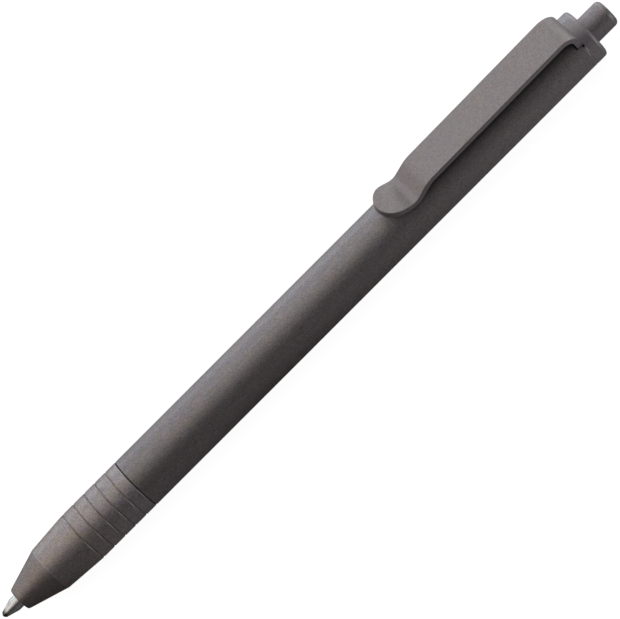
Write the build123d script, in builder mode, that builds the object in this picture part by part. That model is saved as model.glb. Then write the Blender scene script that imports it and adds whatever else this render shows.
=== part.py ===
from build123d import *
from math import atan2, cos, pi, radians, sin
import os

# Titanium click pen, lying on its barrel: the writing tip points to -X, the button to +X and
# the pocket clip to +Z. The origin is on the table, under the middle of the pen. The pen is
# in its writing position, with the refill pushed out. All sizes are in millimetres, and every
# station is a distance behind the ball of the refill, measured along the pen.

# Refill, the standard part that the pen is made around
refill_length = 98.1
refill_radius = 2.95
refill_wall = 0.3
ball_radius = 0.5
ball_showing = 0.3
ball_play = 0.02
point_radius = 1.25
point_end_radius = 0.56
point_cone_length = 2.7
point_shank_end = 10.5
point_tail_radius = 1.05
point_tail_length = 3.6
ink_channel_radius = 0.45
neck_radius = 1.6
neck_length = 5.0
neck_flange = 0.6
neck_seat = 2.6
neck_channel_radius = 0.7
plug_seat = 5.0
plug_rim = 2.4
plug_slot_width = 1.1
plug_slot_depth = 1.2
plug_slot_pairs = 3
plug_vent_radius = 0.5
ink_air = 9.0

# Travel of the button and the refill, from the writing position
retract_travel = 5.5
press_travel = 1.1

# Clearances between pieces
running_fit = 0.06
seat_fit = 0.03
refill_play = 0.25
travel_gap = 0.1
cut_over = 1.0
fit_tolerance = 0.001

# Front section, with its nose, grip rings and threaded spigot
tip_reach = 3.95
nose_radius = 2.2
nose_edge = 0.32
nose_length = 7.45
shoulder_drop = 0.56
taper_length = 7.5
ring_lead = 0.2
ring_pitch = 2.52
ring_count = 5
ring_width = 0.3
ring_depth = 0.24
joint_edge = 0.18
spring_seat_gap = 0.45
pocket_play = 0.22
bore_lead = 0.4
spigot_wall = 0.7
spigot_length = 9.0
spigot_relief = 0.5
spigot_edge = 0.3
thread_pitch = 0.75
thread_depth = 0.28
thread_lead = 2.2
section_ring_cord = 0.25
section_ring_lead = 0.4

# Return spring round the neck of the refill
spring_wire = 0.36
spring_radius = 2.06
spring_turns = 7

# Barrel
barrel_wall = 1.04

# Click mechanism
sleeve_front_gap = 0.4
end_ring_length = 1.0
end_ring_step = 0.3
rotor_radius = 1.95
rotor_play = 0.15
rotor_edge = 0.25
spline_height = 0.72
spline_width = 1.1
spline_length = 2.6
spline_slope = 0.45
spline_play = 0.1
spline_count = 4
rib_gap = 0.1
catch_depth = 0.5
catch_side_share = 0.25
tooth_height = 0.9
tooth_count = 8
pilot_radius = 0.8
pilot_length = 5.0
stem_radius = 1.45
stem_neck_length = 1.2
stem_lug_length = 2.3
stem_seat = 12.0
sleeve_floor = 2.0
nut_length = 2.2
nut_hole_play = 0.2
nut_pin_radius = 0.5
nut_pin_circle = 2.65
nut_pin_depth = 1.2
nut_pin_count = 4

# Button and tail cap
button_radius = 2.625
button_front_gap = 1.8
button_reach = 5.0
button_round = 0.85
button_edge = 0.12
button_ring_lead = 5.8
button_ring_cord = 0.27
cap_wall = 0.915
cap_spigot_gap = 5.8
cap_spigot_length = 7.4
cap_length = 2.5
cap_edge = 0.65
seam_edge = 0.08
cap_ring_lead = 0.7
cap_ring_cord = 0.25

# Pocket clip
clip_length = 43.3
clip_width = 6.12
clip_thickness = 1.25
clip_tab_thickness = 1.0
clip_gap = 2.15
clip_rise = 0.8
clip_bend = 3.2
clip_touch_gap = 0.25
clip_dip_length = 5.24
clip_dip_bend = 1.8
clip_ramp_length = 3.72
clip_ramp_bend = 4.6
clip_lip_length = 2.1
clip_lip_rise = 0.75
clip_lip_slope = 0.62
clip_lip_bend = 4.5
clip_edge = 0.1
paddle_radius = 3.18
paddle_taper = 6.4
clip_ear_width = 0.45
clip_ear_height = 3.05
clip_ear_depth = 0.85
clip_slot_play = 0.1
clip_slot_front_play = 0.26

# Radii, worked outwards from the pieces inside
nose_bore_radius = point_radius + running_fit
pocket_radius = spring_radius + spring_wire / 2 + pocket_play
refill_bore_radius = refill_radius + refill_play
tube_bore_radius = refill_radius - refill_wall
spigot_radius = refill_bore_radius + spigot_wall
spigot_bore_radius = spigot_radius + running_fit
barrel_radius = spigot_bore_radius + barrel_wall
section_ring_radius = spigot_radius + seat_fit
mouth_radius = section_ring_radius + section_ring_cord + seat_fit
rib_radius = rotor_radius + rotor_play
spline_radius = rotor_radius + spline_height
groove_radius = spline_radius + spline_play
button_bore_radius = button_radius + running_fit
cap_spigot_radius = button_bore_radius + cap_wall
tail_bore_radius = cap_spigot_radius + seat_fit
sleeve_radius = tail_bore_radius - seat_fit
cap_ring_radius = tail_bore_radius - seat_fit - cap_ring_cord
button_ring_radius = button_bore_radius - seat_fit - button_ring_cord

# Stations of the front half
nose_face = tip_reach
shoulder = nose_face + nose_length
taper_end = shoulder + taper_length
first_ring = taper_end + ring_lead
section_joint = first_ring + ring_count * ring_pitch
spigot_end = section_joint + spigot_length
spring_seat = point_shank_end - press_travel - spring_seat_gap
refill_shoulder = point_shank_end + neck_length
refill_bore_start = refill_shoulder - press_travel - bore_lead
tube_front = refill_shoulder + neck_flange
tube_rear = refill_length - plug_rim

# Stations of the click mechanism and the tail
sleeve_front = refill_length + retract_travel + sleeve_front_gap
end_ring_rear = sleeve_front + end_ring_length
spline_front = end_ring_rear + press_travel + travel_gap
spline_rear = spline_front + spline_length
rib_front = spline_rear + rib_gap
rotor_rear = rib_front + tooth_height
stem_front = rotor_rear + rib_gap
lug_front = stem_front + stem_neck_length
lug_rear = lug_front + stem_lug_length
groove_rear = lug_rear + retract_travel + travel_gap
sleeve_rear = groove_rear + sleeve_floor
nut_rear = sleeve_rear + nut_length
button_front = nut_rear + button_front_gap
cap_front = nut_rear + cap_spigot_gap
seam = cap_front + cap_spigot_length
cap_rear = seam + cap_length
overall_length = cap_rear + button_reach

tip_x = -overall_length / 2
pen_axis = Axis((tip_x, 0, barrel_radius), (1, 0, 0))


# Plane of a half section: local x is the station, local y the distance from the pen's axis
section_plane = Plane(origin=(tip_x, 0, barrel_radius), x_dir=(1, 0, 0), z_dir=(0, -1, 0))


def across(station):
    """Plane square to the pen, with local x along +Y and local y along +Z."""
    return Plane(origin=(tip_x + station, 0, barrel_radius), x_dir=(0, 1, 0), z_dir=(1, 0, 0))


def facing_out(angle, distance):
    """Plane beside the pen that faces away from its axis; local x is the station."""
    outward = Vector(0, sin(radians(angle)), cos(radians(angle)))
    centre = Vector(tip_x, 0, barrel_radius) + outward * distance
    return Plane(origin=centre, x_dir=(1, 0, 0), z_dir=outward)


def thread_turns(start, length, radius):
    """Row of notches that stands for the turns of a fine thread on a shank."""
    turns = int(length / thread_pitch)
    for turn in range(turns):
        with Locations((start + (turn + 0.5) * thread_pitch, radius)):
            Polygon(
                (-thread_pitch / 2, thread_depth / 2),
                (thread_pitch / 2, thread_depth / 2),
                (0, -thread_depth),
                align=None,
            )


def ring_groove(start, radius, cord):
    """Square groove for a rubber ring, with a little play round its cord."""
    width = 2 * (cord + seat_fit)
    with Locations((start, radius)):
        Rectangle(width, width, align=(Align.MIN, Align.CENTER))


def ring_cord(start, radius, cord):
    """Cord of the rubber ring that lies in the groove at the same station."""
    with Locations((start + cord + seat_fit, radius)):
        Circle(cord)


def inset(outline, thicknesses):
    """Corners of the inner side of a bent strip, from its outer corners."""
    points = [Vector(*corner) for corner in outline]
    normals = []
    for start, end in zip(points, points[1:]):
        run = end - start
        normals.append(Vector(run.Y, -run.X).normalized())
    corners = [points[0] + normals[0] * thicknesses[0]]
    for i in range(1, len(points) - 1):
        before, after = normals[i - 1], normals[i]
        a, b = thicknesses[i - 1], thicknesses[i]
        shift = Vector(a * after.Y - b * before.Y, b * before.X - a * after.X)
        corners.append(points[i] + shift / before.cross(after).Z)
    corners.append(points[-1] + normals[-1] * thicknesses[-1])
    return corners


def foot_outline(play):
    """Foot of the clip seen from the tail: a tab as wide as the clip, with an ear each side."""
    foot_low = clip_ear_height - clip_ear_depth
    with Locations((0, foot_low - play)):
        Rectangle(
            clip_width + 2 * play,
            barrel_radius + clip_thickness - foot_low,
            align=(Align.CENTER, Align.MIN),
        )
        Rectangle(
            clip_width + 2 * (clip_ear_width + play),
            clip_ear_depth + 2 * play,
            align=(Align.CENTER, Align.MIN),
        )


# Ball of the refill, free to roll in its socket
with BuildPart() as refill_ball:
    with Locations((tip_x + ball_radius, 0, barrel_radius)):
        Sphere(ball_radius)

# Point of the refill: the cone and shank that stand out of the nose, and the ball's socket
with BuildPart() as refill_point:
    with BuildSketch(section_plane):
        with BuildLine():
            Polyline(
                (ball_showing, 0),
                (ball_showing, point_end_radius),
                (point_cone_length, point_radius),
                (point_shank_end, point_radius),
                (point_shank_end, point_tail_radius),
                (point_shank_end + point_tail_length, point_tail_radius),
                (point_shank_end + point_tail_length, 0),
                close=True,
            )
        make_face()
    revolve(axis=pen_axis)
    with Locations((tip_x + ball_radius, 0, barrel_radius)):
        Sphere(ball_radius + ball_play, mode=Mode.SUBTRACT)
    with BuildSketch(across(ball_radius)):
        Circle(ink_channel_radius)
    extrude(amount=point_shank_end + point_tail_length, mode=Mode.SUBTRACT)

# Neck of the refill: it holds the point and closes the front of the tube
with BuildPart() as refill_neck:
    with BuildSketch(section_plane):
        with BuildLine():
            Polyline(
                (point_shank_end, point_tail_radius + seat_fit),
                (point_shank_end, neck_radius),
                (refill_shoulder, neck_radius),
                (refill_shoulder, refill_radius),
                (tube_front, refill_radius),
                (tube_front, tube_bore_radius - seat_fit),
                (tube_front + neck_seat, tube_bore_radius - seat_fit),
                (tube_front + neck_seat, neck_channel_radius),
                (point_shank_end + point_tail_length + seat_fit, neck_channel_radius),
                (point_shank_end + point_tail_length + seat_fit, point_tail_radius + seat_fit),
                close=True,
            )
        make_face()
    revolve(axis=pen_axis)

# Tube of the refill
with BuildPart() as refill_tube:
    with BuildSketch(across(tube_front)):
        Circle(refill_radius)
        Circle(tube_bore_radius, mode=Mode.SUBTRACT)
    extrude(amount=tube_rear - tube_front)

# Ink in the tube, with air behind it
with BuildPart() as ink_column:
    with BuildSketch(across(tube_front + neck_seat + seat_fit)):
        Circle(tube_bore_radius - seat_fit)
    extrude(amount=tube_rear - plug_seat - ink_air - tube_front - neck_seat - seat_fit)

# Slotted plug in the rear end of the refill, with its vent
with BuildPart() as refill_plug:
    with BuildSketch(section_plane):
        with BuildLine():
            Polyline(
                (tube_rear - plug_seat, plug_vent_radius),
                (tube_rear - plug_seat, tube_bore_radius - seat_fit),
                (tube_rear, tube_bore_radius - seat_fit),
                (tube_rear, refill_radius),
                (refill_length, refill_radius),
                (refill_length, plug_vent_radius),
                close=True,
            )
        make_face()
    revolve(axis=pen_axis)
    with BuildSketch(across(refill_length)):
        with PolarLocations(0, plug_slot_pairs, angular_range=180, endpoint=False):
            Rectangle(2 * refill_radius + cut_over, plug_slot_width)
    extrude(amount=-plug_slot_depth, mode=Mode.SUBTRACT)

# Return spring, between the nose of the front section and the shoulder of the refill
spring_length = refill_shoulder - spring_seat
spring_rise = spring_length - spring_wire - 2 * seat_fit
with BuildPart() as return_spring:
    with BuildLine() as spring_line:
        Helix(
            pitch=spring_rise / spring_turns,
            height=spring_rise,
            radius=spring_radius,
            center=(tip_x + spring_seat + spring_wire / 2 + seat_fit, 0, barrel_radius),
            direction=(1, 0, 0),
        )
    with BuildSketch(Plane(origin=spring_line.line @ 0, z_dir=spring_line.line % 0)):
        Circle(spring_wire / 2)
    sweep(is_frenet=True)

# Front section: nose cone, tapered grip with turned rings, and the spigot that screws in
with BuildPart() as front_section:
    with BuildSketch(section_plane) as section_profile:
        with BuildLine():
            Polyline(
                (nose_face, nose_bore_radius),
                (nose_face, nose_radius),
                (shoulder, barrel_radius - shoulder_drop),
                (taper_end, barrel_radius),
                (section_joint, barrel_radius),
                (section_joint, spigot_radius),
                (spigot_end, spigot_radius),
                (spigot_end, refill_bore_radius),
                (refill_bore_start, refill_bore_radius),
                (refill_bore_start, pocket_radius),
                (spring_seat, pocket_radius),
                (spring_seat, nose_bore_radius),
                close=True,
            )
        make_face()
        fillet(section_profile.vertices().sort_by_distance((nose_face, nose_radius))[0], nose_edge)
        chamfer(section_profile.vertices().sort_by_distance((section_joint, barrel_radius))[0], joint_edge)
        chamfer(section_profile.vertices().sort_by_distance((spigot_end, spigot_radius))[0], spigot_edge)
    revolve(axis=pen_axis)
    with BuildSketch(section_plane):
        for ring in range(ring_count):
            with Locations((first_ring + ring * ring_pitch, barrel_radius)):
                Rectangle(ring_width, 2 * ring_depth)
        ring_groove(section_joint + section_ring_lead, section_ring_radius, section_ring_cord)
        thread_turns(section_joint + thread_lead, spigot_length - thread_lead - spigot_edge, spigot_radius)
    revolve(axis=pen_axis, mode=Mode.SUBTRACT)

# Rubber ring that keeps the front section from working loose
with BuildPart() as section_o_ring:
    with BuildSketch(section_plane):
        ring_cord(section_joint + section_ring_lead, section_ring_radius, section_ring_cord)
    revolve(axis=pen_axis)

# Barrel, stepped inside for the front section's spigot and for the click mechanism
mouth_length = section_ring_lead + 2 * (section_ring_cord + seat_fit) + section_ring_lead
with BuildPart() as barrel:
    with BuildSketch(section_plane) as barrel_profile:
        with BuildLine():
            Polyline(
                (section_joint, mouth_radius),
                (section_joint, barrel_radius),
                (seam, barrel_radius),
                (seam, tail_bore_radius),
                (sleeve_front, tail_bore_radius),
                (sleeve_front, refill_bore_radius),
                (spigot_end + spigot_relief, refill_bore_radius),
                (spigot_end + spigot_relief, spigot_bore_radius),
                (section_joint + mouth_length, spigot_bore_radius),
                (section_joint + mouth_length, mouth_radius),
                close=True,
            )
        make_face()
        chamfer(barrel_profile.vertices().sort_by_distance((section_joint, barrel_radius))[0], joint_edge)
        chamfer(barrel_profile.vertices().sort_by_distance((seam, barrel_radius))[0], seam_edge)
    revolve(axis=pen_axis)
    with BuildSketch(across(seam)):
        foot_outline(clip_slot_play)
    extrude(amount=-(clip_tab_thickness + clip_slot_front_play), mode=Mode.SUBTRACT)

# Cam sleeve: a guide with four deep grooves, whose rib ends catch the rotor
catch_side = spline_width * catch_side_share
with BuildPart() as cam_sleeve:
    with BuildSketch(section_plane):
        with BuildLine():
            Polyline(
                (sleeve_front, groove_radius + end_ring_step),
                (sleeve_front, sleeve_radius),
                (sleeve_rear, sleeve_radius),
                (sleeve_rear, stem_radius + running_fit),
                (groove_rear, stem_radius + running_fit),
                (groove_rear, rib_radius),
                (rib_front, rib_radius),
                (rib_front, groove_radius),
                (end_ring_rear, groove_radius),
                (end_ring_rear, groove_radius + end_ring_step),
                close=True,
            )
        make_face()
    revolve(axis=pen_axis)
    with BuildSketch(across(rib_front)):
        with PolarLocations(0, spline_count // 2, angular_range=180, endpoint=False):
            Rectangle(2 * groove_radius, spline_width + 2 * spline_play)
        Circle(groove_radius, mode=Mode.INTERSECT)
    extrude(amount=groove_rear - rib_front, mode=Mode.SUBTRACT)
    for rib in range(spline_count):
        with BuildSketch(facing_out((rib + 0.5) * 360 / spline_count, rib_radius / 2)):
            with BuildLine():
                Polyline(
                    (rib_front, -spline_width),
                    (rib_front + catch_depth, catch_side),
                    (rib_front, catch_side),
                    (rib_front - cut_over, catch_side),
                    (rib_front - cut_over, -spline_width),
                    close=True,
                )
            make_face()
        extrude(amount=groove_radius - rib_radius / 2, mode=Mode.SUBTRACT)

# Ring in the front end of the sleeve, which keeps the rotor in when the refill is out
with BuildPart() as cam_end_ring:
    with BuildSketch(across(sleeve_front)):
        Circle(groove_radius + end_ring_step - seat_fit)
        Circle(rotor_radius + rotor_play, mode=Mode.SUBTRACT)
    extrude(amount=end_ring_length)

# Rotor: its nose pushes the refill, and its splines run in the sleeve's grooves
tooth_half_width = rotor_radius * pi / tooth_count
spline_top = spline_radius * cos(atan2(spline_width / 2, spline_radius))
with BuildPart() as cam_rotor:
    with BuildSketch(section_plane) as rotor_profile:
        with BuildLine():
            Polyline(
                (refill_length, 0),
                (refill_length, rotor_radius),
                (rotor_rear, rotor_radius),
                (rotor_rear, 0),
                close=True,
            )
        make_face()
        chamfer(rotor_profile.vertices().sort_by_distance((refill_length, rotor_radius))[0], rotor_edge)
    revolve(axis=pen_axis)
    for tooth in range(tooth_count // 2):
        with BuildSketch(facing_out(tooth * 360 / tooth_count, -rotor_radius - cut_over)):
            with BuildLine():
                Polyline(
                    (rotor_rear - tooth_height, 0),
                    (rotor_rear, tooth_half_width),
                    (rotor_rear + cut_over, tooth_half_width),
                    (rotor_rear + cut_over, -tooth_half_width),
                    (rotor_rear, -tooth_half_width),
                    close=True,
                )
            make_face()
        extrude(amount=2 * (rotor_radius + cut_over), mode=Mode.SUBTRACT)
    with BuildSketch(across(rotor_rear - 2 * tooth_height)):
        Circle(pilot_radius)
    extrude(amount=2 * tooth_height + pilot_length)
    for spline in range(spline_count):
        with BuildSketch(facing_out(spline * 360 / spline_count, rotor_radius / 2)):
            with BuildLine():
                Polyline(
                    (spline_front, -spline_width / 2),
                    (spline_rear, -spline_width / 2),
                    (spline_rear - spline_slope, spline_width / 2),
                    (spline_front, spline_width / 2),
                    close=True,
                )
            make_face()
        extrude(amount=spline_top - rotor_radius / 2)

# Stem behind the rotor: its teeth turn the rotor, and its lugs slide in the sleeve's grooves
with BuildPart() as plunger_stem:
    with BuildSketch(section_plane):
        with BuildLine():
            Polyline(
                (stem_front, pilot_radius + running_fit),
                (stem_front, rotor_radius),
                (lug_rear, rotor_radius),
                (lug_rear, stem_radius),
                (button_front + stem_seat, stem_radius),
                (button_front + stem_seat, 0),
                (rotor_rear + pilot_length + travel_gap, 0),
                (rotor_rear + pilot_length + travel_gap, pilot_radius + running_fit),
                close=True,
            )
        make_face()
    revolve(axis=pen_axis)
    for tooth in range(tooth_count // 2):
        with BuildSketch(facing_out((tooth + 0.5) * 360 / tooth_count, -rotor_radius - cut_over)):
            with BuildLine():
                Polyline(
                    (stem_front + tooth_height, 0),
                    (stem_front, tooth_half_width),
                    (stem_front - cut_over, tooth_half_width),
                    (stem_front - cut_over, -tooth_half_width),
                    (stem_front, -tooth_half_width),
                    close=True,
                )
            make_face()
        extrude(amount=2 * (rotor_radius + cut_over), mode=Mode.SUBTRACT)
    for lug in range(spline_count):
        with BuildSketch(facing_out(lug * 360 / spline_count, (stem_radius + rotor_radius) / 2)):
            with Locations((lug_front, 0)):
                Rectangle(lug_rear - lug_front, spline_width, align=(Align.MIN, Align.CENTER))
        extrude(amount=spline_top - (stem_radius + rotor_radius) / 2)

# Nut that clamps the sleeve against the step in the barrel, with holes for a pin spanner
with BuildPart() as retaining_nut:
    with BuildSketch(across(sleeve_rear)):
        Circle(sleeve_radius)
        Circle(stem_radius + nut_hole_play, mode=Mode.SUBTRACT)
    extrude(amount=nut_length)
    with BuildSketch(section_plane):
        thread_turns(sleeve_rear, nut_length, sleeve_radius)
    revolve(axis=pen_axis, mode=Mode.SUBTRACT)
    with BuildSketch(across(nut_rear)):
        with PolarLocations(nut_pin_circle, nut_pin_count):
            Circle(nut_pin_radius)
    extrude(amount=-nut_pin_depth, mode=Mode.SUBTRACT)

# Button, bored for the stem and grooved for its ring
button_rear = overall_length
with BuildPart() as plunger:
    with BuildSketch(section_plane) as button_profile:
        with BuildLine():
            Polyline(
                (button_front, stem_radius + seat_fit),
                (button_front, button_radius),
                (button_rear, button_radius),
                (button_rear, 0),
                (button_front + stem_seat + travel_gap, 0),
                (button_front + stem_seat + travel_gap, stem_radius + seat_fit),
                close=True,
            )
        make_face()
        fillet(button_profile.vertices().sort_by_distance((button_rear, button_radius))[0], button_round)
        chamfer(button_profile.vertices().sort_by_distance((button_front, button_radius))[0], button_edge)
    revolve(axis=pen_axis)
    with BuildSketch(section_plane):
        ring_groove(button_front + button_ring_lead, button_ring_radius, button_ring_cord)
    revolve(axis=pen_axis, mode=Mode.SUBTRACT)

# Rubber ring on the button, which stops it rattling in the tail cap
with BuildPart() as plunger_o_ring:
    with BuildSketch(section_plane):
        ring_cord(button_front + button_ring_lead, button_ring_radius, button_ring_cord)
    revolve(axis=pen_axis)

# Tail cap, which guides the button and closes the slot of the clip
with BuildPart() as tail_cap:
    with BuildSketch(section_plane) as cap_profile:
        with BuildLine():
            Polyline(
                (cap_front, button_bore_radius),
                (cap_front, cap_spigot_radius),
                (seam, cap_spigot_radius),
                (seam, barrel_radius),
                (cap_rear, barrel_radius),
                (cap_rear, button_bore_radius),
                close=True,
            )
        make_face()
        fillet(cap_profile.vertices().sort_by_distance((cap_rear, barrel_radius))[0], cap_edge)
        chamfer(cap_profile.vertices().sort_by_distance((seam, barrel_radius))[0], seam_edge)
    revolve(axis=pen_axis)
    with BuildSketch(section_plane):
        ring_groove(cap_front + cap_ring_lead, cap_ring_radius, cap_ring_cord)
        thread_turns(cap_front + thread_lead, cap_spigot_length - 2 * thread_lead, cap_spigot_radius)
    revolve(axis=pen_axis, mode=Mode.SUBTRACT)

# Rubber ring that keeps the tail cap from working loose
with BuildPart() as cap_o_ring:
    with BuildSketch(section_plane):
        ring_cord(cap_front + cap_ring_lead, cap_ring_radius, cap_ring_cord)
    revolve(axis=pen_axis)

# Pocket clip: one bent strip with a lifted round paddle and a foot that hooks into the barrel
clip_front = seam - clip_length
dip_station = clip_front + clip_dip_length
ramp_station = dip_station + clip_ramp_length
lip_station = clip_front + clip_lip_length
strip_level = barrel_radius + clip_gap + clip_thickness
dip_level = barrel_radius + clip_touch_gap + clip_thickness
dip_turn = atan2(clip_lip_slope, 1)
dip_corner = dip_level - clip_dip_bend * (1 / cos(dip_turn) - 1)
lip_corner = dip_corner + clip_lip_slope * (dip_station - lip_station)
clip_outer = [
    (clip_front, lip_corner + clip_lip_rise),
    (lip_station, lip_corner),
    (dip_station, dip_corner),
    (ramp_station, strip_level),
    (seam, strip_level + clip_rise),
    (seam, barrel_radius - clip_slot_play),
]
clip_inner = inset(clip_outer, [clip_thickness] * 4 + [clip_tab_thickness])
clip_bends = [0, clip_lip_bend, clip_dip_bend, clip_ramp_bend, clip_bend, 0]
clip_inner_bends = [
    0,
    clip_lip_bend - clip_thickness,
    clip_dip_bend + clip_thickness,
    clip_ramp_bend - clip_thickness,
    clip_bend - clip_thickness,
    0,
]
clip_lip_turn = atan2(clip_lip_rise, clip_lip_length)
lip_plane = Plane(
    origin=section_plane.from_local_coords(clip_outer[0]),
    x_dir=(cos(clip_lip_turn), 0, -sin(clip_lip_turn)),
    z_dir=(sin(clip_lip_turn), 0, cos(clip_lip_turn)),
)
with BuildLine(section_plane) as clip_face_line:
    FilletPolyline(*clip_outer, radius=clip_bends[1:-1])


def on_clip_face(edge):
    """Whether an edge runs along the rim of the clip's outer face."""
    spots = [edge @ 0, edge @ 0.5, edge @ 1]
    offsets = [clip_face_line.line.distance_to(Vector(spot.X, 0, spot.Z)) for spot in spots]
    return max(offsets) < fit_tolerance


with BuildPart() as clip:
    with BuildSketch(section_plane):
        with BuildLine():
            FilletPolyline(
                *clip_outer,
                *reversed(clip_inner),
                radius=clip_bends + clip_inner_bends[::-1],
                close=True,
            )
        make_face()
    extrude(amount=paddle_radius, both=True)
    with BuildSketch(Plane((tip_x, 0, barrel_radius))):
        with BuildLine():
            Polyline(
                (clip_front - cut_over, -paddle_radius),
                (clip_front + paddle_radius, -paddle_radius),
                (clip_front + paddle_radius + paddle_taper, -clip_width / 2),
                (seam + cut_over, -clip_width / 2),
                (seam + cut_over, clip_width / 2),
                (clip_front + paddle_radius + paddle_taper, clip_width / 2),
                (clip_front + paddle_radius, paddle_radius),
                (clip_front - cut_over, paddle_radius),
                close=True,
            )
        make_face()
    extrude(amount=2 * barrel_radius + clip_gap, mode=Mode.INTERSECT)
    with BuildSketch(lip_plane):
        with Locations((-cut_over, 0)):
            lip_cut_width = 2 * (paddle_radius + cut_over)
            Rectangle(paddle_radius + cut_over, lip_cut_width, align=(Align.MIN, Align.CENTER))
        with Locations((paddle_radius, 0)):
            Circle(paddle_radius, mode=Mode.SUBTRACT)
    extrude(amount=clip_thickness + cut_over, both=True, mode=Mode.SUBTRACT)
    fillet(clip.edges().filter_by(Axis.Y, reverse=True).filter_by(on_clip_face), clip_edge)
    with BuildSketch(across(seam)):
        foot_outline(0)
    extrude(amount=-clip_tab_thickness)
    with BuildSketch(across(seam)):
        Circle(tail_bore_radius + clip_slot_play)
    extrude(amount=-2 * clip_tab_thickness, mode=Mode.SUBTRACT)

pieces = {
    "front_section": front_section,
    "section_o_ring": section_o_ring,
    "barrel": barrel,
    "tail_cap": tail_cap,
    "cap_o_ring": cap_o_ring,
    "clip": clip,
    "plunger": plunger,
    "plunger_o_ring": plunger_o_ring,
    "plunger_stem": plunger_stem,
    "cam_rotor": cam_rotor,
    "cam_sleeve": cam_sleeve,
    "cam_end_ring": cam_end_ring,
    "retaining_nut": retaining_nut,
    "return_spring": return_spring,
    "refill_tube": refill_tube,
    "refill_neck": refill_neck,
    "refill_point": refill_point,
    "refill_ball": refill_ball,
    "refill_plug": refill_plug,
    "ink_column": ink_column,
}
os.makedirs("parts", exist_ok=True)
for name, piece in pieces.items():
    piece.part.label = name
    export_step(piece.part, f"parts/{name}.step")
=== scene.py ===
import bpy
import bmesh
from math import cos, floor, pi, radians, sin
from mathutils import Matrix, Vector


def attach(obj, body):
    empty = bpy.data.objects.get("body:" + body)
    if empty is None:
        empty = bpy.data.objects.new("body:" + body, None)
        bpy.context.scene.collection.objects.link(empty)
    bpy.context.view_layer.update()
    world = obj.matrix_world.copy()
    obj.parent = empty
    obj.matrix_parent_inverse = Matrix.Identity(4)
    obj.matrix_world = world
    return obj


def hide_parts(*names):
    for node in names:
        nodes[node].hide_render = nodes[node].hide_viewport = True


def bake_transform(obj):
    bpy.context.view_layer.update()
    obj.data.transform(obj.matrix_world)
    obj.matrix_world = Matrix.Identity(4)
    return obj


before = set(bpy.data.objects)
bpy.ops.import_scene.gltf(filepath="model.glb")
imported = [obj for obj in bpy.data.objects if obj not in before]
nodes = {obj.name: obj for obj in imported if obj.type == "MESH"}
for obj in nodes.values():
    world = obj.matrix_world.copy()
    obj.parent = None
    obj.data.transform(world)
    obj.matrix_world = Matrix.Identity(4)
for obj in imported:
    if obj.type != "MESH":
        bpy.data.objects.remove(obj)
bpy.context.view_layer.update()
print("frame loaded:", len(nodes), "pieces")

mm = 0.001
tipX = -0.07195        # station 0 is the ball of the refill; stations run to +X, in millimetres
axisZ = 0.005          # the pen lies on its barrel, so its axis is one radius up


def stationX(station):
    return tipX + station * mm


# small helpers for node trees

def link(tree, source, target):
    tree.links.new(source, target)


def feed(tree, socket, value):
    if isinstance(value, bpy.types.NodeSocket):
        tree.links.new(value, socket)
    else:
        socket.default_value = value


def calc(tree, operation, *values, clamp=False):
    node = tree.nodes.new("ShaderNodeMath")
    node.operation = operation
    node.use_clamp = clamp
    for socket, value in zip(node.inputs, values):
        feed(tree, socket, value)
    return node.outputs[0]


def mixColour(tree, factor, first, second, mode="MIX"):
    node = tree.nodes.new("ShaderNodeMix")
    node.data_type = "RGBA"
    node.blend_type = mode
    feed(tree, node.inputs[0], factor)
    for socket, colour in ((node.inputs[6], first), (node.inputs[7], second)):
        feed(tree, socket, colour if isinstance(colour, bpy.types.NodeSocket) else (*colour, 1))
    return node.outputs[2]


def grey(tree, value):
    node = tree.nodes.new("ShaderNodeCombineColor")
    for socket in node.inputs[:3]:
        feed(tree, socket, value)
    return node.outputs[0]


def remap(tree, value, low, high, outLow=0.0, outHigh=1.0, smooth=False):
    node = tree.nodes.new("ShaderNodeMapRange")
    node.interpolation_type = "SMOOTHSTEP" if smooth else "LINEAR"
    for name, number in (("Value", value), ("From Min", low), ("From Max", high),
                         ("To Min", outLow), ("To Max", outHigh)):
        feed(tree, node.inputs[name], number)
    return node.outputs["Result"]


def nearTo(tree, value, centre, width):
    away = calc(tree, "ABSOLUTE", calc(tree, "SUBTRACT", value, centre))
    return calc(tree, "SUBTRACT", 1.0, calc(tree, "DIVIDE", away, width), clamp=True)


def lengthOf(tree, first, second):
    squared = calc(tree, "MULTIPLY_ADD", first, first, calc(tree, "MULTIPLY", second, second))
    return calc(tree, "SQRT", squared)


def placeInMm(tree, stretch=(1, 1, 1)):
    where = tree.nodes.new("ShaderNodeTexCoord")
    scale = tree.nodes.new("ShaderNodeMapping")
    scale.inputs["Scale"].default_value = [1000 * s for s in stretch]
    link(tree, where.outputs["Object"], scale.inputs["Vector"])
    return scale.outputs["Vector"]


def objectPlace(tree):
    where = tree.nodes.new("ShaderNodeTexCoord")
    split = tree.nodes.new("ShaderNodeSeparateXYZ")
    link(tree, where.outputs["Object"], split.inputs[0])
    return split.outputs


def stationOf(tree, x):
    return calc(tree, "MULTIPLY", calc(tree, "SUBTRACT", x, tipX), 1000.0)


def placeOnPen(tree):
    x, y, z = objectPlace(tree)
    up = calc(tree, "SUBTRACT", z, axisZ)
    radius = calc(tree, "MULTIPLY", lengthOf(tree, up, y), 1000.0)
    angle = calc(tree, "MULTIPLY", calc(tree, "ARCTAN2", y, up), 180 / pi)
    return stationOf(tree, x), radius, angle      # angle 0 at the clip, negative on the -Y side


def noise(tree, place, size, detail=3, rough=0.6):
    node = tree.nodes.new("ShaderNodeTexNoise")
    link(tree, place, node.inputs["Vector"])
    node.inputs["Scale"].default_value = 1 / size     # size is one blotch in millimetres
    node.inputs["Detail"].default_value = detail
    node.inputs["Roughness"].default_value = rough
    return node.outputs[0]


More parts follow.
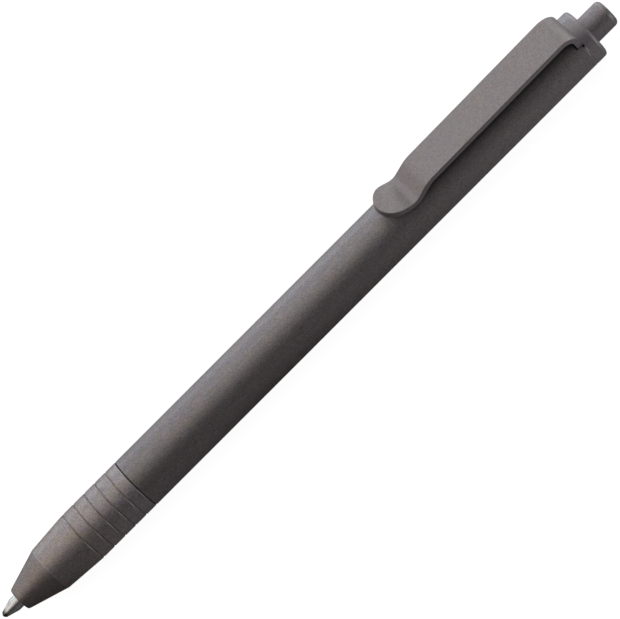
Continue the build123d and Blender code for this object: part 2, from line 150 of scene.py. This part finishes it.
def dots(tree, place, size):
    node = tree.nodes.new("ShaderNodeTexVoronoi")
    link(tree, place, node.inputs["Vector"])
    node.inputs["Scale"].default_value = 1 / size
    return node.outputs["Distance"]


def newMaterial(name, metallic=0.0):
    material = bpy.data.materials.new(name)
    material.use_nodes = True
    tree = material.node_tree
    tree.nodes.clear()
    output = tree.nodes.new("ShaderNodeOutputMaterial")
    skin = tree.nodes.new("ShaderNodeBsdfPrincipled")
    skin.inputs["Metallic"].default_value = metallic
    link(tree, skin.outputs["BSDF"], output.inputs["Surface"])
    return material, tree, skin


def addBump(tree, skin, height, depth):
    bump = tree.nodes.new("ShaderNodeBump")
    bump.inputs["Distance"].default_value = depth * mm
    feed(tree, bump.inputs["Height"], height)
    link(tree, bump.outputs["Normal"], skin.inputs["Normal"])


def dress(node, material):
    if not len(node.data.materials):
        node.data.materials.append(material)
    for slot in node.material_slots:
        slot.material = material


# bead-blasted titanium, the finish of every outer part: a fine grain, cloudy warm and lavender
# tints, a few pale specks, dirt and painted shade in the grooves, painted shade under the clip,
# bare metal and painted highlights along the worn edges, and painted highlights and shade in
# spots; sizes are in millimetres and angles in degrees round the pen

blasted = {
    "warm": (0.313, 0.272, 0.261), "lavender": (0.283, 0.267, 0.298),
    "olive": (0.290, 0.277, 0.268), "pink": (0.306, 0.261, 0.290),
    "plain": (0.298, 0.269, 0.279), "brown": (0.319, 0.270, 0.256),
    "browningTint": (1.070, 1.004, 0.918), "coolTint": (0.96, 0.99, 1.03),
    # the worn tone is bare metal and a painted highlight along the edges
    "bare": (0.53, 0.51, 0.495), "wearAndGlint": (0.53, 0.51, 0.495),
    # the polished tone is a painted highlight; the dirt tone is dirt and also painted shade
    "paintedGlint": (0.80, 0.78, 0.76), "dirtAndShade": (0.030, 0.027, 0.026),
    "cloudSize": 2.0, "cloudEdges": (0.38, 0.60),
    "stainSize": 1.2, "stainEdges": (0.38, 0.62), "stainShare": 0.5,
    "blotchSize": 0.75, "blotchEdges": (0.55, 0.75), "blotchShare": 0.45, "blotchShade": (0.94, 1.06),
    "calm": 0.0,                       # how far the tints fade into the plain one
    "grainSize": 0.24, "grainEdges": (0.25, 0.75), "grain": 0.50,
    "fineSize": 0.11, "fine": 0.15,
    "middle": (0.3, 0.7),              # the part of a noise that the fine grain and the gloss use
    "speckSize": 1.3, "speckEdges": (0.035, 0.06), "speckShare": 0.55,
    "dirtAndShadeAt": (), "wearAndGlintAt": (),        # station, half width and amount of each
    "grooveEdge": 0.05,                # how softly the dirt and painted shade end below the rim of a groove
    "belowEdges": (-0.6, -0.2),        # the normal's upright part, from the underside to the side
    "raggedSize": 0.5, "raggedEdges": (0.35, 0.65), "raggedLeast": 0.3,      # breaks up the worn edges and their painted highlights
    "spots": (), "spotEdge": 0.5,      # painted highlights and painted shade: station, reach, angle, spread, tone and amount of each
    "roughness": (0.48, 0.62), "bump": 0.018, "grainBump": 0.7,
}


def blastedTints(tree, look, place, station, blotch):
    cloud = remap(tree, noise(tree, place, look["cloudSize"]), *look["cloudEdges"], smooth=True)
    stain = remap(tree, noise(tree, place, look["stainSize"]), *look["stainEdges"], smooth=True)
    tint = mixColour(tree, cloud, look["warm"], look["lavender"])
    hue = mixColour(tree, stain, look["olive"], look["pink"])
    colour = mixColour(tree, look["stainShare"], tint, hue)
    patch = remap(tree, blotch, *look["blotchEdges"], 0.0, look["blotchShare"])
    colour = mixColour(tree, patch, colour, look["brown"])
    colour = mixColour(tree, look["calm"], colour, look["plain"])
    if "cool" in look:
        colour = mixColour(tree, look["cool"], colour, look["coolTint"], "MULTIPLY")
    if "browning" in look:             # browner towards one end; on the grip this is a painted warm reflection
        browning = remap(tree, station, look["browningFrom"], look["browningTo"], look["browning"], 0.0, smooth=True)
        colour = mixColour(tree, browning, colour, look["browningTint"], "MULTIPLY")
    return colour


def blastedShade(tree, look, station, grain, fine, blotch):
    shade = remap(tree, grain, *look["grainEdges"], 1 - look["grain"], 1 + look["grain"])
    shade = calc(tree, "ADD", shade, remap(tree, fine, *look["middle"], -look["fine"], look["fine"]))
    shade = calc(tree, "MULTIPLY", shade, remap(tree, blotch, *look["middle"], *look["blotchShade"]))
    bright = look["bright"]
    if "fade" in look:             # from one brightness to another along the pen
        start, end, brightEnd = look["fade"]
        bright = remap(tree, station, start, end, bright, brightEnd, smooth=True)
    return calc(tree, "MULTIPLY", shade, bright)


def addDirtAndShade(tree, look, colour, station, radius, angle):
    # dirt in the joints, and painted shade on one flank of each groove
    for at, width, amount in look["dirtAndShadeAt"]:
        low = remap(tree, radius, look["dirtAndShadeBelow"] - look["grooveEdge"], look["dirtAndShadeBelow"], amount, 0.0)
        inside = calc(tree, "GREATER_THAN", nearTo(tree, station, at, width), 0.0)
        colour = mixColour(tree, calc(tree, "MULTIPLY", low, inside), colour, look["dirtAndShade"])
    if "clipShadowFrom" in look:        # painted shadow of the clip, along the strip of barrel that it covers
        aside = calc(tree, "ABSOLUTE", angle)
        clipShadow = remap(tree, aside, *look["clipShadowEdge"], look["clipShadow"], 0.0, smooth=True)
        clipShadow = calc(tree, "MULTIPLY", clipShadow, calc(tree, "GREATER_THAN", station, look["clipShadowFrom"]))
        colour = mixColour(tree, clipShadow, colour, look["dirtAndShade"])
    if "undersideShade" in look:       # painted shade on the side that faces the barrel
        facing = tree.nodes.new("ShaderNodeNewGeometry")
        split = tree.nodes.new("ShaderNodeSeparateXYZ")
        link(tree, facing.outputs["Normal"], split.inputs[0])
        below = remap(tree, split.outputs[2], *look["belowEdges"], look["undersideShade"], 0.0)
        colour = mixColour(tree, below, colour, look["dirtAndShade"])
    return colour


def addWearAndGlints(tree, look, place, colour, station, radius, angle):
    ragged = noise(tree, place, look["raggedSize"])
    ragged = remap(tree, ragged, *look["raggedEdges"], look["raggedLeast"], 1.0)
    # bare metal and painted highlights along the edges
    for at, width, amount in look["wearAndGlintAt"]:
        wearAndGlint = calc(tree, "MULTIPLY", nearTo(tree, station, at, width), amount)
        if "wearAndGlintBeyond" in look:
            wearAndGlint = calc(tree, "MULTIPLY", wearAndGlint, calc(tree, "GREATER_THAN", radius, look["wearAndGlintBeyond"]))
        colour = mixColour(tree, calc(tree, "MULTIPLY", wearAndGlint, ragged), colour, look["wearAndGlint"])
    # painted highlights and painted shade in spots
    for at, reach, where, spread, tone, amount in look["spots"]:
        spot = calc(tree, "MULTIPLY", nearTo(tree, station, at, reach), nearTo(tree, angle, where, spread))
        spot = remap(tree, spot, 0.0, look["spotEdge"], 0.0, amount, smooth=True)
        colour = mixColour(tree, spot, colour, look[tone])
    return colour


def blastedTitanium(name, finish):
    look = {**blasted, **finish}
    material, tree, skin = newMaterial(name, metallic=1.0)
    place = placeInMm(tree)
    station, radius, angle = placeOnPen(tree)
    blotch = noise(tree, place, look["blotchSize"])
    grain = noise(tree, place, look["grainSize"], 4, 0.7)
    fine = noise(tree, place, look["fineSize"], 2)
    colour = blastedTints(tree, look, place, station, blotch)
    shade = blastedShade(tree, look, station, grain, fine, blotch)
    colour = mixColour(tree, 1.0, colour, grey(tree, shade), "MULTIPLY")
    speck = dots(tree, place, look["speckSize"])
    speck = remap(tree, speck, *look["speckEdges"], look["speckShare"], 0.0)
    colour = mixColour(tree, speck, colour, look["bare"])
    colour = addDirtAndShade(tree, look, colour, station, radius, angle)
    colour = addWearAndGlints(tree, look, place, colour, station, radius, angle)
    link(tree, colour, skin.inputs["Base Color"])
    link(tree, remap(tree, grain, *look["middle"], *look["roughness"]), skin.inputs["Roughness"])
    height = calc(tree, "MULTIPLY", fine, 1 - look["grainBump"])
    height = calc(tree, "MULTIPLY_ADD", grain, look["grainBump"], height)
    addBump(tree, skin, height, look["bump"])
    return material


# ground or turned metal, with streaks round the axis (or along it for a drawn tube)

ground = {
    "streaks": (1, 0.06, 0.06), "streakSize": 0.05, "streakShare": 0.6, "cloudSize": 0.9,
    "edges": (0.35, 0.65), "bump": 0.002,
}


def groundMetal(name, finish):
    look = {**ground, **finish}
    material, tree, skin = newMaterial(name, metallic=1.0)
    streak = noise(tree, placeInMm(tree, look["streaks"]), look["streakSize"])
    cloud = noise(tree, placeInMm(tree), look["cloudSize"], 3, 0.55)
    mixed = calc(tree, "MULTIPLY", cloud, 1 - look["streakShare"])
    mixed = calc(tree, "MULTIPLY_ADD", streak, look["streakShare"], mixed)
    colour = mixColour(tree, remap(tree, mixed, *look["edges"]), look["light"], look["dark"])
    if "ink" in look:              # dried ink round the ball
        station = stationOf(tree, objectPlace(tree)[0])
        wander = calc(tree, "MULTIPLY_ADD", cloud, look["inkWander"], station)
        dried = remap(tree, wander, *look["inkEdges"], look["inkShare"], 0.0, smooth=True)
        colour = mixColour(tree, dried, colour, look["ink"])
    link(tree, colour, skin.inputs["Base Color"])
    link(tree, remap(tree, mixed, *look["edges"], *look["roughness"]), skin.inputs["Roughness"])
    addBump(tree, skin, streak, look["bump"])
    return material


# moulded plastic, rubber and ink: soft clouds, a fine grain and a bump from the grain

softStuff = {"cloudSize": 1.8, "grainSize": 0.12, "edges": (0.35, 0.65), "bump": 0.004}


def moulded(name, finish):
    look = {**softStuff, **finish}
    material, tree, skin = newMaterial(name)
    place = placeInMm(tree)
    cloud = noise(tree, place, look["cloudSize"], 3, 0.5)
    grain = noise(tree, place, look["grainSize"])
    colour = mixColour(tree, remap(tree, cloud, *look["edges"]), look["light"], look["dark"])
    link(tree, colour, skin.inputs["Base Color"])
    link(tree, remap(tree, grain, *look["edges"], *look["roughness"]), skin.inputs["Roughness"])
    addBump(tree, skin, grain, look["bump"])
    return material


# turned meshes: a closed half section, as (station, radius) pairs, swept round the pen's axis

def braced(profile, longFrom=0.5, gap=0.03):
    points = []
    for here, there in zip(profile, profile[1:] + profile[:1]):
        points.append(here)
        start, end = Vector(here), Vector(there)
        if (end - start).length > longFrom:        # keeps the long faces straight up to their corners
            step = (end - start).normalized() * gap
            points += [tuple(start + step), tuple(end - step)]
    return points


def turned(name, profile, segments, radiusAt):
    work = bmesh.new()
    rings = []
    for station, radius in braced(profile):
        ring = []
        for k in range(segments):
            turn = 2 * pi * k / segments
            reach = radiusAt(station, radius, turn) * mm
            ring.append(work.verts.new((stationX(station), reach * cos(turn), axisZ + reach * sin(turn))))
        rings.append(ring)
    for here, there in zip(rings, rings[1:] + rings[:1]):
        for k in range(segments):
            work.faces.new((here[k], here[k - 1], there[k - 1], there[k]))
    return finishMesh(name, work)


def finishMesh(name, work, sharpAngle=32):
    bmesh.ops.recalc_face_normals(work, faces=work.faces)
    for edge in work.edges:
        edge.smooth = len(edge.link_faces) == 2 and edge.calc_face_angle() < radians(sharpAngle)
    for face in work.faces:
        face.smooth = True
    mesh = bpy.data.meshes.new(name)
    work.to_mesh(mesh)
    work.free()
    piece = bpy.data.objects.new(name, mesh)
    bpy.context.scene.collection.objects.link(piece)
    return piece


def easedCorner(before, corner, after, size, steps):
    here = Vector(corner)
    start = here + (Vector(before) - here).normalized() * size
    end = here + (Vector(after) - here).normalized() * size
    points = []
    for k in range(steps + 1):
        t = k / steps
        points.append(tuple(start * (1 - t) ** 2 + here * 2 * t * (1 - t) + end * t * t))
    return points


# front section: nose cone, tapered grip with eased ring grooves, and a spigot with a real thread

frontShape = {
    "noseFace": 3.95, "noseRadius": 2.2, "noseEase": (0.34, 6),      # the rounding's reach and steps
    "shoulder": 11.4, "shoulderRadius": 4.44, "shoulderEase": (0.16, 4),
    "taperEnd": 18.9, "taperEase": (0.16, 3), "radius": 5.0,
    "firstRing": 19.25, "ringPitch": 2.52, "rings": 5,
    "ringWidth": 0.42, "ringDepth": 0.125, "ringSteps": 10,
    "joint": 31.7, "jointEase": (0.24, 5),
    "spigot": 3.9, "spigotEnd": 40.7, "spigotEdge": 0.3,
    "seatFrom": 32.1, "seatTo": 32.66, "seatRadius": 3.65,
    "threadFrom": 33.9, "turns": 8, "pitch": 0.75, "threadSteps": 16,
    "threadDepth": 0.28, "crest": 0.25, "runOut": 0.4,
    "bore": 3.2, "boreFrom": 14.0, "pocket": 2.46, "pocketFrom": 8.95, "noseBore": 1.31,
    "segments": 144,
}
ringDirtAndShade = [(frontShape["firstRing"] - 0.13 + frontShape["ringPitch"] * k, 0.14, 0.36)
            for k in range(frontShape["rings"])]      # dirt and painted shade on the side of each groove toward the point
frontFinish = {
    "bright": 1.07, "fade": (10.9, 12.2, 1.29), "grain": 0.54,
    # browner towards the point: a painted warm reflection on the grip
    "browning": 0.62, "browningFrom": 17.0, "browningTo": 34.0,
    # painted shade in the ring grooves and dirt in the joint; wear and painted highlights on the shoulder
    # and the joint's edge
    "dirtAndShadeBelow": 4.985, "dirtAndShadeAt": ringDirtAndShade + [(frontShape["joint"], 0.12, 0.6)],
    "wearAndGlintAt": [(11.42, 0.17, 1.0), (31.45, 0.12, 0.5)],
}


def ringGroove(shape, middle):
    points = []
    for k in range(shape["ringSteps"] + 1):
        across = k / shape["ringSteps"]
        sink = shape["ringDepth"] * (1 - cos(2 * pi * across)) / 2
        points.append((middle + (across - 0.5) * shape["ringWidth"], shape["radius"] - sink))
    return points


def threadedFront():
    shape = frontShape
    noseRim = (shape["noseFace"], shape["noseRadius"])
    shoulder = (shape["shoulder"], shape["shoulderRadius"])
    taperEnd = (shape["taperEnd"], shape["radius"])
    jointRim = (shape["joint"], shape["radius"])
    jointFoot = (shape["joint"], shape["spigot"])
    threadFrom, threadLong = shape["threadFrom"], shape["turns"] * shape["pitch"]
    threadTo = threadFrom + threadLong

    corners = [(shape["noseFace"], shape["noseBore"])]
    corners += easedCorner((shape["noseFace"], 0), noseRim, shoulder, *shape["noseEase"])
    corners += easedCorner(noseRim, shoulder, taperEnd, *shape["shoulderEase"])
    corners += easedCorner(shoulder, taperEnd, (shape["firstRing"], shape["radius"]), *shape["taperEase"])
    for ring in range(shape["rings"]):
        corners += ringGroove(shape, shape["firstRing"] + ring * shape["ringPitch"])
    corners += easedCorner(taperEnd, jointRim, jointFoot, *shape["jointEase"])
    corners += [jointFoot, (shape["seatFrom"], shape["spigot"]), (shape["seatFrom"], shape["seatRadius"])]
    corners += [(shape["seatTo"], shape["seatRadius"]), (shape["seatTo"], shape["spigot"])]
    steps = shape["threadSteps"] * shape["turns"]
    corners += [(threadFrom + threadLong * k / steps, shape["spigot"]) for k in range(steps + 1)]
    corners += [(shape["spigotEnd"] - shape["spigotEdge"], shape["spigot"])]
    corners += [(shape["spigotEnd"], shape["spigot"] - shape["spigotEdge"])]
    corners += [(shape["spigotEnd"], shape["bore"]), (shape["boreFrom"], shape["bore"])]
    corners += [(shape["boreFrom"], shape["pocket"]), (shape["pocketFrom"], shape["pocket"])]
    corners += [(shape["pocketFrom"], shape["noseBore"])]

    def radiusAt(station, radius, turn):
        if radius != shape["spigot"] or not threadFrom < station < threadTo:
            return radius
        phase = (station - threadFrom) / shape["pitch"] - turn / (2 * pi)
        away = abs(phase - floor(phase) - 0.5) * shape["pitch"]
        flank = (shape["pitch"] - shape["crest"]) / 2
        ends = min(station - threadFrom, threadTo - station) / shape["runOut"]
        return radius - shape["threadDepth"] * max(0, 1 - away / flank) * min(1, ends)

    return turned("front_section_turned", corners, shape["segments"], radiusAt)


frontSection = threadedFront()
dress(frontSection, blastedTitanium("blasted_front", frontFinish))
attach(frontSection, "grip")
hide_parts("front_section")
print("front section turned and threaded:", len(frontSection.data.polygons), "faces")


# return spring: closed and ground at both ends, stretched between the nose and the refill

springShape = {
    "from": 8.95, "to": 15.5, "wire": 0.18, "coil": 2.06, "ground": 0.06,
    "liveTurns": 4.7, "deadTurns": 1.15, "deadPitch": 0.375, "stepsPerTurn": 40, "sides": 12,
}
springFinish = {
    "light": (0.50, 0.50, 0.51), "dark": (0.38, 0.38, 0.40), "roughness": (0.26, 0.38),
    "streaks": (1, 1, 1), "streakSize": 0.08,
}


def coiledSpring():
    shape = springShape
    turns = 2 * shape["deadTurns"] + shape["liveTurns"]
    low, high = shape["from"] + shape["wire"], shape["to"] - shape["wire"]
    livePitch = (high - low - 2 * shape["deadTurns"] * shape["deadPitch"]) / shape["liveTurns"]

    def stationAt(turn):
        station = low + min(turn, shape["deadTurns"]) * shape["deadPitch"]
        station += max(0, min(turn - shape["deadTurns"], shape["liveTurns"])) * livePitch
        return station + max(0, turn - shape["deadTurns"] - shape["liveTurns"]) * shape["deadPitch"]

    work = bmesh.new()
    loops = []
    steps = int(turns * shape["stepsPerTurn"])
    for k in range(steps + 1):
        turn = turns * k / steps
        angle = 2 * pi * turn
        out = Vector((0, cos(angle), sin(angle)))
        loop = []
        for j in range(shape["sides"]):
            side = 2 * pi * j / shape["sides"]
            station = stationAt(turn) + shape["wire"] * cos(side)
            station = min(max(station, shape["from"] + shape["ground"]), shape["to"] - shape["ground"])
            spot = out * (shape["coil"] + shape["wire"] * sin(side)) * mm
            loop.append(work.verts.new((stationX(station), spot.y, axisZ + spot.z)))
        loops.append(loop)
    for here, there in zip(loops, loops[1:]):
        for j in range(shape["sides"]):
            work.faces.new((here[j], here[j - 1], there[j - 1], there[j]))
    work.faces.new(loops[0])
    work.faces.new(loops[-1][::-1])
    return finishMesh("return_spring_coil", work)


spring = coiledSpring()
dress(spring, groundMetal("spring_steel", springFinish))
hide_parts("return_spring")
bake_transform(spring)
print("spring coiled")


# outer parts that keep their own shape; the spots are painted shade and painted highlights beside the
# clip's foot

barrelFinish = {
    "bright": 0.965, "fade": (36.0, 70.0, 1.04), "calm": 0.18,
    "browning": 0.10, "browningFrom": 34.0, "browningTo": 60.0,
    "dirtAndShadeBelow": 4.97, "dirtAndShadeAt": [(31.6, 0.26, 0.65)],
    # painted highlight on the end's chamfer, painted shadow of the clip, and a painted highlight and
    # painted shade in the spots beside its foot
    "wearAndGlintAt": [(136.28, 0.16, 0.7)],
    "clipShadow": 0.36, "clipShadowFrom": 97.0, "clipShadowEdge": (26.0, 39.5),
    "spots": [(136.31, 0.15, -60.0, 12.0, "paintedGlint", 0.5),
              (136.42, 0.34, -40.5, 5.5, "dirtAndShade", 1.0), (136.42, 0.34, 40.5, 5.5, "dirtAndShade", 1.0)],
}
capFinish = {
    "bright": 1.15, "grain": 0.36, "calm": 0.3, "cool": 1.0,
    "dirtAndShadeBelow": 4.95, "dirtAndShadeAt": [(136.35, 0.08, 0.8)],
    # painted highlight on the rear rim; the spots are a painted highlight and painted shade
    "wearAndGlintAt": [(138.32, 0.10, 0.8)], "wearAndGlintBeyond": 4.7, "wearAndGlint": (0.50, 0.485, 0.475),
    "spots": [(136.52, 0.15, -51.0, 11.0, "paintedGlint", 0.75),
              (136.36, 0.40, -40.5, 5.5, "dirtAndShade", 1.0), (136.36, 0.40, 40.5, 5.5, "dirtAndShade", 1.0)],
}
buttonFinish = {
    "bright": 1.02, "grain": 0.36, "calm": 0.3, "cool": 0.5,
    # painted highlight round the rim of the end
    "wearAndGlintAt": [(143.15, 0.12, 1.0)], "wearAndGlintBeyond": 2.3, "wearAndGlint": (0.50, 0.485, 0.475),
}
# painted shade on the clip's underside, which faces the barrel
clipFinish = {"bright": 1.19, "grain": 0.33, "calm": 0.35, "undersideShade": 0.7}

dress(nodes["barrel"], blastedTitanium("blasted_barrel", barrelFinish))
dress(nodes["tail_cap"], blastedTitanium("blasted_cap", capFinish))
dress(nodes["plunger"], blastedTitanium("blasted_button", buttonFinish))
dress(nodes["clip"], blastedTitanium("blasted_clip", clipFinish))
print("outer parts dressed")


# point and inside of the pen

metalPieces = {
    "refill_point": {"light": (0.86, 0.845, 0.835), "dark": (0.71, 0.695, 0.69), "roughness": (0.30, 0.42),
                     "ink": (0.05, 0.042, 0.040), "inkEdges": (0.9, 1.7), "inkShare": 0.9,
                     "inkWander": 0.8},
    "refill_ball": {"light": (0.085, 0.08, 0.08), "dark": (0.055, 0.05, 0.05), "roughness": (0.20, 0.30)},
    "refill_tube": {"light": (0.60, 0.60, 0.61), "dark": (0.50, 0.50, 0.51), "roughness": (0.24, 0.36),
                    "streaks": (0.06, 1, 1)},
    "refill_neck": {"light": (0.62, 0.46, 0.22), "dark": (0.52, 0.37, 0.17), "roughness": (0.28, 0.40)},
    "cam_sleeve": {"light": (0.60, 0.44, 0.20), "dark": (0.50, 0.35, 0.15), "roughness": (0.30, 0.42)},
    "cam_end_ring": {"light": (0.61, 0.45, 0.21), "dark": (0.50, 0.36, 0.16), "roughness": (0.30, 0.42)},
    "retaining_nut": {"light": (0.60, 0.45, 0.22), "dark": (0.51, 0.37, 0.17), "roughness": (0.28, 0.40)},
}
rubber = {"light": (0.022, 0.021, 0.021), "dark": (0.014, 0.014, 0.014), "roughness": (0.62, 0.78),
          "grainSize": 0.06}
mouldedPieces = {
    "refill_plug": {"light": (0.055, 0.056, 0.060), "dark": (0.040, 0.041, 0.045),
                    "roughness": (0.38, 0.52)},
    "ink_column": {"light": (0.010, 0.010, 0.014), "dark": (0.006, 0.006, 0.010), "roughness": (0.12, 0.20),
                   "bump": 0.001},
    "cam_rotor": {"light": (0.62, 0.61, 0.57), "dark": (0.54, 0.53, 0.49), "roughness": (0.34, 0.46)},
    "plunger_stem": {"light": (0.60, 0.59, 0.56), "dark": (0.52, 0.51, 0.48), "roughness": (0.34, 0.46)},
    "section_o_ring": rubber, "cap_o_ring": rubber, "plunger_o_ring": rubber,
}
for nodeName, finish in metalPieces.items():
    dress(nodes[nodeName], groundMetal(nodeName + "_metal", finish))
for nodeName, finish in mouldedPieces.items():
    dress(nodes[nodeName], moulded(nodeName + "_moulded", finish))
print("inner pieces dressed:", len(metalPieces) + len(mouldedPieces))


# camera at the photograph's angle

camera = {
    "lens": 214.32, "sensor": 36,      # mm, the sensor across the picture's 620 pixels
    "height": 63.0,                    # degrees above the table, on the -Y side
    "distance": 0.62,                  # metres
    "standsOver": 90.0,                # station that it is square to
    "looksAt": 73.1446,                # station in the middle of the picture
    "lower": 0.0326,                   # millimetres from the axis to the middle of the picture
    "slant": (0.70693, 0.70729),       # how the pen's axis runs across the picture
    "near": 0.01, "far": 20,
}


def placeCamera():
    lift = radians(camera["height"])
    back = Vector((0, -cos(lift), sin(lift)))
    across = Vector((1, 0, 0)).cross(back)
    stand = Vector((stationX(camera["standsOver"]), 0, axisZ)) + back * camera["distance"]
    aim = Vector((stationX(camera["looksAt"]), 0, axisZ)) + across * camera["lower"] * mm
    back = (stand - aim).normalized()
    along = (Vector((1, 0, 0)) - back * back.x).normalized()
    across = along.cross(back)
    run, rise = camera["slant"]
    right = along * run + across * rise
    up = along * rise - across * run
    lens = bpy.data.cameras.new("camera")
    lens.lens = camera["lens"]
    lens.sensor_width = camera["sensor"]
    lens.sensor_fit = "HORIZONTAL"
    lens.clip_start = camera["near"]
    lens.clip_end = camera["far"]
    eye = bpy.data.objects.new("camera", lens)
    bpy.context.scene.collection.objects.link(eye)
    eye.matrix_world = Matrix.Translation(stand) @ Matrix((right, up, back)).transposed().to_4x4()
    bpy.context.scene.camera = eye


placeCamera()
print("camera placed")


# floor and background: white to the camera, and much weaker in the metal, as in the photograph

studio = {
    "backShine": 0.012, "fill": 0.008,      # the background in a shiny surface, and from all round
    "floorShine": ((10, 0.0), (20, 0.10), (38, 0.08), (62, 0.03),      # by station
                   (96, 0.10), (120, 0.175), (145, 0.205)),
    "farShine": (0.19, 0.42), "farStations": (22, 48),      # more of it from the far side of the pen
    "farFrom": 0.005, "farTo": 0.018,
    "floorGrey": 0.16, "floorPaint": 0.28,      # the paint's tone to the pen and to the camera
    "floorGlow": (0.95, 1.0), "glowFrom": 0.2, "glowTo": 0.6,      # beside the pen and far away
    "floorHalf": 4.0,
}


def whiteFor(tree, path, strength, shine):
    seen = calc(tree, "MULTIPLY", path.outputs["Is Camera Ray"], strength)
    through = calc(tree, "MULTIPLY", path.outputs["Is Transmission Ray"], strength)
    shiny = calc(tree, "MULTIPLY", path.outputs["Is Glossy Ray"], shine)
    return calc(tree, "MAXIMUM", calc(tree, "MAXIMUM", seen, through), shiny)


def floorShineAt(tree, station, y):
    farShine = remap(tree, station, *studio["farStations"], *studio["farShine"])
    shine = remap(tree, y, studio["farFrom"], studio["farTo"], 0.0, farShine, smooth=True)
    first = studio["floorShine"][0]
    for second in studio["floorShine"][1:]:
        step = remap(tree, station, first[0], second[0], 0.0, second[1] - first[1])
        shine = calc(tree, "ADD", shine, step)
        first = second
    return shine


def paleFloor():
    material = bpy.data.materials.new("pale_floor")
    material.use_nodes = True
    tree = material.node_tree
    tree.nodes.clear()
    output = tree.nodes.new("ShaderNodeOutputMaterial")
    path = tree.nodes.new("ShaderNodeLightPath")
    x, y = objectPlace(tree)[:2]
    shine = floorShineAt(tree, stationOf(tree, x), y)
    glowing = remap(tree, lengthOf(tree, x, y), studio["glowFrom"], studio["glowTo"], *studio["floorGlow"])
    glow = tree.nodes.new("ShaderNodeEmission")
    link(tree, whiteFor(tree, path, glowing, shine), glow.inputs["Strength"])
    paint = tree.nodes.new("ShaderNodeBsdfDiffuse")
    tone = remap(tree, path.outputs["Is Camera Ray"], 0.0, 1.0, studio["floorGrey"], studio["floorPaint"])
    link(tree, grey(tree, tone), paint.inputs["Color"])
    both = tree.nodes.new("ShaderNodeAddShader")
    link(tree, glow.outputs[0], both.inputs[0])
    link(tree, paint.outputs[0], both.inputs[1])
    link(tree, both.outputs[0], output.inputs["Surface"])
    return material


def makeFloor():
    half = studio["floorHalf"]
    corners = [(-half, -half, 0), (half, -half, 0), (half, half, 0), (-half, half, 0)]
    mesh = bpy.data.meshes.new("floor")
    mesh.from_pydata(corners, [], [(0, 1, 2, 3)])
    mesh.materials.append(paleFloor())
    floorPlane = bpy.data.objects.new("floor", mesh)
    bpy.context.scene.collection.objects.link(floorPlane)


def makeWorld():
    world = bpy.data.worlds.new("studio")
    bpy.context.scene.world = world
    world.use_nodes = True
    tree = world.node_tree
    tree.nodes.clear()
    output = tree.nodes.new("ShaderNodeOutputWorld")
    back = tree.nodes.new("ShaderNodeBackground")
    back.inputs["Color"].default_value = (1, 1, 1, 1)
    path = tree.nodes.new("ShaderNodeLightPath")
    white = whiteFor(tree, path, 1.0, studio["backShine"])
    link(tree, calc(tree, "MAXIMUM", white, studio["fill"]), back.inputs["Strength"])
    link(tree, back.outputs[0], output.inputs["Surface"])


# Rows of long soft panels round the pen. The angle is 0 on the camera's side and 90 on the far
# side. Each row has a panel over the point, the middle and the button end.

panelRows = {
    "over": {"angle": 15, "width": 0.28, "radiance": (0.38, 0.40, 0.02), "tint": (1.0, 0.97, 1.0)},
    "top": {"angle": 40, "width": 0.28, "radiance": (1.18, 0.83, 0.05), "tint": (1.0, 0.97, 0.82)},
    "back": {"angle": 65, "width": 0.28, "radiance": (0.80, 1.12, 0.72), "tint": (0.96, 0.97, 1.0)},
    "far": {"angle": 90, "width": 0.28, "radiance": (0.42, 0.08, 1.15), "tint": (0.96, 0.97, 1.0)},
    "low": {"angle": 108, "width": 0.16, "radiance": (0.05, 2.98, 3.45), "tint": (0.90, 0.975, 1.0)},
    "front": {"angle": -52, "width": 0.22, "radiance": (0.02, 0.14, 3.50), "tint": (0.96, 0.94, 1.0)},
}
panelEnds = {
    "along": (-1.05, 0.0, 1.05), "length": (1.3, 0.8, 1.3), "distance": 0.6,
    "tint": ((1.0, 0.945, 0.925), (0.98, 0.99, 1.0), (1.0, 0.98, 0.92)),
}


def addPanel(name, angle, along, size, radiance, tint):
    light = bpy.data.lights.new(name, "AREA")
    light.shape = "RECTANGLE"
    light.size, light.size_y = size
    light.color = tint
    light.energy = radiance * pi * size[0] * size[1]
    lamp = bpy.data.objects.new(name, light)
    bpy.context.scene.collection.objects.link(lamp)
    turn = radians(angle - 90 + camera["height"])      # from straight up
    back = Vector((0, sin(turn), cos(turn)))
    right = Vector((1, 0, 0))
    place = Vector((along, 0, axisZ)) + back * panelEnds["distance"]
    facing = Matrix((right, back.cross(right), back)).transposed().to_4x4()
    lamp.matrix_world = Matrix.Translation(place) @ facing


def makePanels():
    for rowName, row in panelRows.items():
        for k, radiance in enumerate(row["radiance"]):
            tint = [a * b for a, b in zip(row["tint"], panelEnds["tint"][k])]
            size = (panelEnds["length"][k], row["width"])
            addPanel(f"{rowName}_{k}", row["angle"], panelEnds["along"][k], size, radiance, tint)


makeFloor()
makeWorld()
makePanels()
bpy.context.scene.view_settings.view_transform = "Standard"
print("floor and lights:", len(panelRows) * len(panelEnds["along"]), "panels")

bpy.context.view_layer.update()
